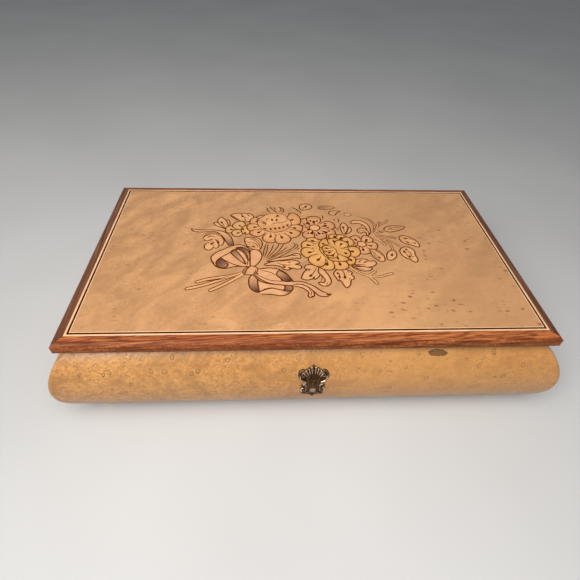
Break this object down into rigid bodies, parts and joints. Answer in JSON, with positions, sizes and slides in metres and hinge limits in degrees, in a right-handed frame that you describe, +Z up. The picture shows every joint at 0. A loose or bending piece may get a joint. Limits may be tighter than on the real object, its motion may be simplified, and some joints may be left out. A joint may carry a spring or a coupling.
{
  "type": "musical jewelry box",
  "caption": "Wooden jewelry box with an inlaid hinged lid, curved sides, lock, velvet trays and a wind-up pinned-cylinder musical movement.",
  "frame": {"origin": "on the table under the middle of the box", "axes": "+X along the front to the right, +Y from the front to the back, +Z up; the front faces -Y"},
  "size_m": [0.3362, 0.1995, 0.074],
  "materials": {
    "maple_lid": "satin lacquer over maple veneer",
    "maple_side": "satin lacquer over maple veneer, golden stain",
    "wall_core": "planed maple",
    "ply": "plain plywood",
    "mahogany": "satin lacquer over mahogany",
    "pale_line": "satin lacquer over holly stringing",
    "dark_line": "satin lacquer over dyed stringing",
    "velvet": "short-pile velvet",
    "velvet_roll": "short-pile velvet over padding",
    "foot_brass": "polished",
    "hinge_brass": "satin",
    "escutcheon_bronze": "antique dark patina with rubbed highlights",
    "lock_steel": "brushed",
    "bed_zinc": "cast, plain",
    "comb_steel": "ground",
    "cylinder_brass": "satin",
    "pin_steel": "drawn wire",
    "gear_brass": "machined",
    "spring_steel": "blued spring",
    "screw_steel": "bright plated",
    "brake_nylon": "moulded",
    "clear_cover": "clear sheet",
    "key_steel": "plated"
  },
  "bodies": {
    "case": {"back_veneer": "maple_side", "back_wall": "wall_core", "bay_divider": "velvet", "bed_plate": "bed_zinc", "bottom_panel": "ply", "clutch_spring": "spring_steel", "comb": "comb_steel", "comb_screws": "screw_steel", "cover_ledges": "velvet", "escutcheon": "escutcheon_bronze", "feet": "foot_brass", "floor_lining": "velvet", "front_veneer": "maple_side", "front_wall": "wall_core", "governor_frame": "bed_zinc", "left_hinge_lower_leaf": "hinge_brass", "left_hinge_pin": "hinge_brass", "left_veneer": "maple_side", "left_wall": "wall_core", "lock_case": "lock_steel", "long_divider": "velvet", "lower_hinge_screws": "hinge_brass", "movement_cover": "clear_cover", "movement_screws": "screw_steel", "right_hinge_lower_leaf": "hinge_brass", "right_hinge_pin": "hinge_brass", "right_veneer": "maple_side", "right_wall": "wall_core", "ring_rolls": "velvet_roll", "roll_divider": "velvet", "wall_lining": "velvet"},
    "lid": {"lid_core": "ply", "lid_front_moulding": "mahogany", "lid_right_moulding": "mahogany", "lid_back_moulding": "mahogany", "lid_left_moulding": "mahogany", "pale_stringing": "pale_line", "dark_stringing": "dark_line", "inner_stringing": "pale_line", "lid_veneer": "maple_lid", "lid_pad": "velvet", "left_hinge_upper_leaf": "hinge_brass", "right_hinge_upper_leaf": "hinge_brass", "upper_hinge_screws": "hinge_brass", "lock_link_plate": "hinge_brass", "link_plate_screws": "hinge_brass"},
    "lock_bolt": {"lock_bolt": "lock_steel"},
    "key": {"winding_arbor": "pin_steel", "winding_key": "key_steel"},
    "barrel": {"spring_barrel": "gear_brass", "mainspring": "spring_steel"},
    "cylinder": {"music_cylinder": "cylinder_brass", "cylinder_pins": "pin_steel", "cylinder_arbor": "pin_steel", "cylinder_pinion": "gear_brass", "cylinder_gear": "gear_brass"},
    "governor": {"governor_wheel": "gear_brass"},
    "worm": {"worm_shaft": "pin_steel", "air_brake": "brake_nylon"},
    "start_rod": {"start_rod": "pin_steel"}
  },
  "joints": [
    {"name": "lid_hinge", "type": "hinge", "parent": "case", "child": "lid", "pos_m": [0, 0.09, 0.0627], "axis": [-1, 0, 0], "range_deg": [0, 100]},
    {"name": "lock_bolt_slide", "type": "slide", "parent": "case", "child": "lock_bolt", "axis": [1, 0, 0], "range_m": [0, 0.0035]},
    {"name": "key_turn", "type": "hinge", "parent": "case", "child": "key", "pos_m": [-0.118, 0.046, 0.012], "axis": [0, 0, 1], "continuous": true},
    {"name": "cylinder_turn", "type": "hinge", "parent": "case", "child": "cylinder", "pos_m": [-0.096, 0.046, 0.0375], "axis": [1, 0, 0], "continuous": true},
    {"name": "barrel_turn", "type": "hinge", "parent": "case", "child": "barrel", "pos_m": [-0.118, 0.046, 0.028], "axis": [0, 0, 1], "continuous": true},
    {"name": "governor_turn", "type": "hinge", "parent": "case", "child": "governor", "pos_m": [-0.0852, 0.054, 0.0315], "axis": [1, 0, 0], "continuous": true},
    {"name": "worm_turn", "type": "hinge", "parent": "case", "child": "worm", "pos_m": [-0.08, 0.0593, 0.0315], "axis": [0, 0, 1], "continuous": true},
    {"name": "start_rod_slide", "type": "slide", "parent": "case", "child": "start_rod", "axis": [0, 0, 1], "range_m": [0, 0.0021]}
  ],
  "couplings": [
    {"joint": "barrel_turn", "follows": "cylinder_turn", "ratio": 0.33333},
    {"joint": "governor_turn", "follows": "cylinder_turn", "ratio": -4},
    {"joint": "worm_turn", "follows": "cylinder_turn", "ratio": 80},
    {"joint": "start_rod_slide", "follows": "lid_hinge", "m_per_rad": 0.00115}
  ]
}
